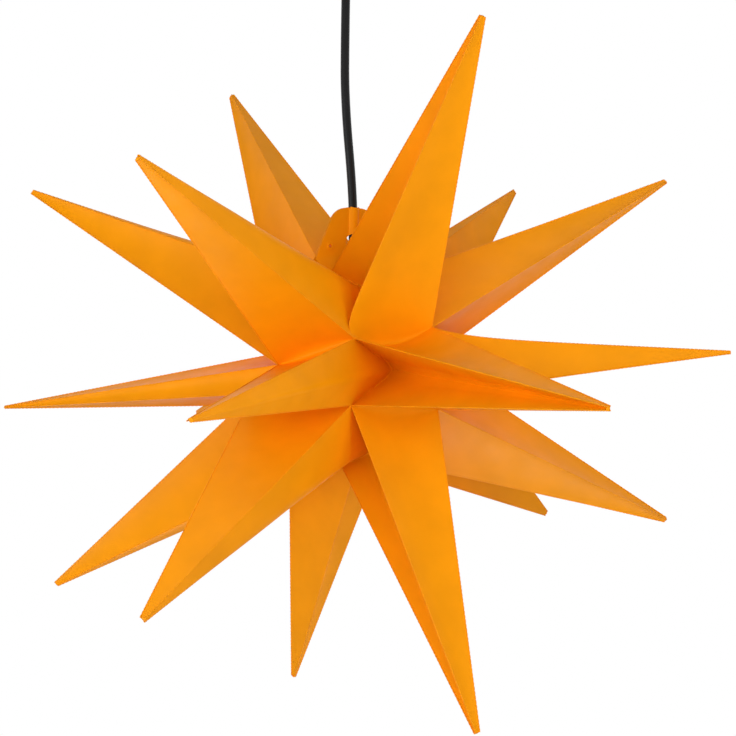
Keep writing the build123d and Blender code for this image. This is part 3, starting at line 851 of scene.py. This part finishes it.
# Studio: camera, light, floor
def make_camera():
    """The photo's view."""
    data = bpy.data.cameras.new("camera")
    data.lens = CAMERA_LENS
    data.sensor_width = SENSOR_WIDTH
    data.clip_start = CLIP_START
    middle = (PHOTO_SIZE / 2, PHOTO_SIZE / 2)
    data.shift_x = (middle[0] - STAR_CENTRE_PIXEL[0]) / PHOTO_SIZE
    data.shift_y = (STAR_CENTRE_PIXEL[1] - middle[1]) / PHOTO_SIZE
    camera = bpy.data.objects.new("camera", data)
    scene.collection.objects.link(camera)
    back = Vector(aim(0, CAMERA_ELEVATION))
    camera.location = Vector(STAR_CENTRE) + back * CAMERA_DISTANCE
    camera.rotation_euler = (-back).to_track_quat("-Z", "Y").to_euler()
    scene.camera = camera


make_camera()


def softbox(name, heading, elevation, distance, size, strength, sheen=False):
    """Square soft lamp that faces the star: its strength lights matt faces, or only shows as sheen."""
    data = bpy.data.lights.new(name, "AREA")
    data.size = size
    data.energy = strength * (pi * distance) ** 2
    lamp = bpy.data.objects.new(name, data)
    scene.collection.objects.link(lamp)
    lamp.visible_camera = False
    lamp.visible_glossy = sheen
    lamp.visible_diffuse = not sheen
    way = Vector(aim(heading, elevation))
    lamp.location = Vector(STAR_CENTRE) + way * distance
    lamp.rotation_euler = (-way).to_track_quat("-Z", "Y").to_euler()


softbox("front_light", heading=0, elevation=12, distance=1.15, size=0.6, strength=0.27)
softbox("left_light", heading=-40, elevation=0, distance=1.05, size=0.7, strength=0.45)
softbox("right_light", heading=40, elevation=0, distance=1.05, size=0.7, strength=0.34)
softbox("top_sheen", heading=0, elevation=80, distance=1.2, size=0.7, strength=0.3, sheen=True)
softbox("bottom_sheen", heading=0, elevation=-80, distance=0.95, size=0.7, strength=1.4, sheen=True)
softbox("left_sheen", heading=-50, elevation=-5, distance=1.2, size=0.7, strength=0.35, sheen=True)

# Ways that soft light comes from, and how strong it is
WORLD_LIGHT = [("+Y", 1.6), ("+Z", 0.36), ("-Z", 0.85), ("+X", 0.1)]


def make_world():
    """White background, which reflections show too, and soft light from four ways."""
    world = bpy.data.worlds.new("studio")
    scene.world = world
    world.use_nodes = True
    tree = world.node_tree
    tree.nodes.clear()
    output = tree.nodes.new("ShaderNodeOutputWorld")
    path = tree.nodes.new("ShaderNodeLightPath")
    place = tree.nodes.new("ShaderNodeTexCoord")
    split = tree.nodes.new("ShaderNodeSeparateXYZ")
    tree.links.new(place.outputs["Generated"], split.inputs["Vector"])

    def math(operation, a, b):
        node = tree.nodes.new("ShaderNodeMath")
        node.operation = operation
        for socket, value in zip(node.inputs, (a, b)):
            if isinstance(value, (int, float)):
                socket.default_value = value
            else:
                tree.links.new(value, socket)
        return node.outputs["Value"]

    def background(strength):
        """White of a plain strength or of one that a node gives."""
        node = tree.nodes.new("ShaderNodeBackground")
        node.inputs["Color"].default_value = (1, 1, 1, 1)
        if isinstance(strength, (int, float)):
            node.inputs["Strength"].default_value = strength
        else:
            tree.links.new(strength, node.inputs["Strength"])
        return node.outputs["Background"]

    def mixed(factor, first, second):
        node = tree.nodes.new("ShaderNodeMixShader")
        tree.links.new(factor, node.inputs["Fac"])
        tree.links.new(first, node.inputs[1])
        tree.links.new(second, node.inputs[2])
        return node.outputs["Shader"]

    def lobe(way, strength):
        """Light from one way, which fades out to its sides."""
        facing = math("MULTIPLY", split.outputs[way[1]], 1 if way[0] == "+" else -1)
        return math("MULTIPLY", math("MAXIMUM", facing, 0), strength)

    around = lobe(*WORLD_LIGHT[0])
    for way, strength in WORLD_LIGHT[1:]:
        around = math("ADD", around, lobe(way, strength))
    seen = math("MAXIMUM", path.outputs["Is Camera Ray"], path.outputs["Is Transmission Ray"])
    seen = math("MAXIMUM", seen, path.outputs["Is Glossy Ray"])
    tree.links.new(mixed(seen, background(around), background(1.0)), output.inputs["Surface"])


make_world()

FLOOR_HEIGHT = -1.45
FLOOR_RADII = [0.5, 1.0, 1.5, 2.0, 2.4]
FLOOR_FADE = (0.5, 2.2)  # radii between which the floor turns white
FLOOR_GREY = 0.86


def make_floor():
    """Pale floor far under the star, which fades into the white background."""
    shape = Shape()
    sides = 64
    angles = [2 * pi * step / sides for step in range(sides)]
    points = [(0, 0, FLOOR_HEIGHT)]
    for radius in FLOOR_RADII:
        points += [(radius * cos(a), radius * sin(a), FLOOR_HEIGHT) for a in angles]
    faces = [[0, 1 + k, 1 + (k + 1) % sides] for k in range(sides)]
    for ring in range(len(FLOOR_RADII) - 1):
        start = 1 + ring * sides
        for k in range(sides):
            beyond = (k + 1) % sides
            faces.append([start + k, start + sides + k, start + sides + beyond, start + beyond])
    shape.add(points, faces)
    made = bpy.data.materials.new("floor")
    made.use_nodes = True
    tree = made.node_tree
    tree.nodes.clear()
    output = tree.nodes.new("ShaderNodeOutputMaterial")
    matt = tree.nodes.new("ShaderNodeBsdfDiffuse")
    matt.inputs["Color"].default_value = (FLOOR_GREY, FLOOR_GREY, FLOOR_GREY, 1)
    white = tree.nodes.new("ShaderNodeEmission")
    path = tree.nodes.new("ShaderNodeLightPath")
    seen = tree.nodes.new("ShaderNodeMath")
    seen.operation = "MULTIPLY"
    place = tree.nodes.new("ShaderNodeTexCoord")
    distance = tree.nodes.new("ShaderNodeVectorMath")
    distance.operation = "LENGTH"
    flat = tree.nodes.new("ShaderNodeVectorMath")
    flat.operation = "MULTIPLY"
    flat.inputs[1].default_value = (1, 1, 0)
    fade = tree.nodes.new("ShaderNodeMapRange")
    fade.interpolation_type = "SMOOTHSTEP"
    fade.inputs["From Min"].default_value = FLOOR_FADE[0]
    fade.inputs["From Max"].default_value = FLOOR_FADE[1]
    mix = tree.nodes.new("ShaderNodeMixShader")
    tree.links.new(place.outputs["Object"], flat.inputs[0])
    tree.links.new(flat.outputs["Vector"], distance.inputs[0])
    tree.links.new(distance.outputs["Value"], fade.inputs["Value"])
    tree.links.new(fade.outputs["Result"], seen.inputs[0])
    tree.links.new(path.outputs["Is Camera Ray"], seen.inputs[1])
    tree.links.new(seen.outputs["Value"], mix.inputs["Fac"])
    tree.links.new(matt.outputs["BSDF"], mix.inputs[1])
    tree.links.new(white.outputs["Emission"], mix.inputs[2])
    tree.links.new(mix.outputs["Shader"], output.inputs["Surface"])
    floor = shape.build("floor", [made])


make_floor()
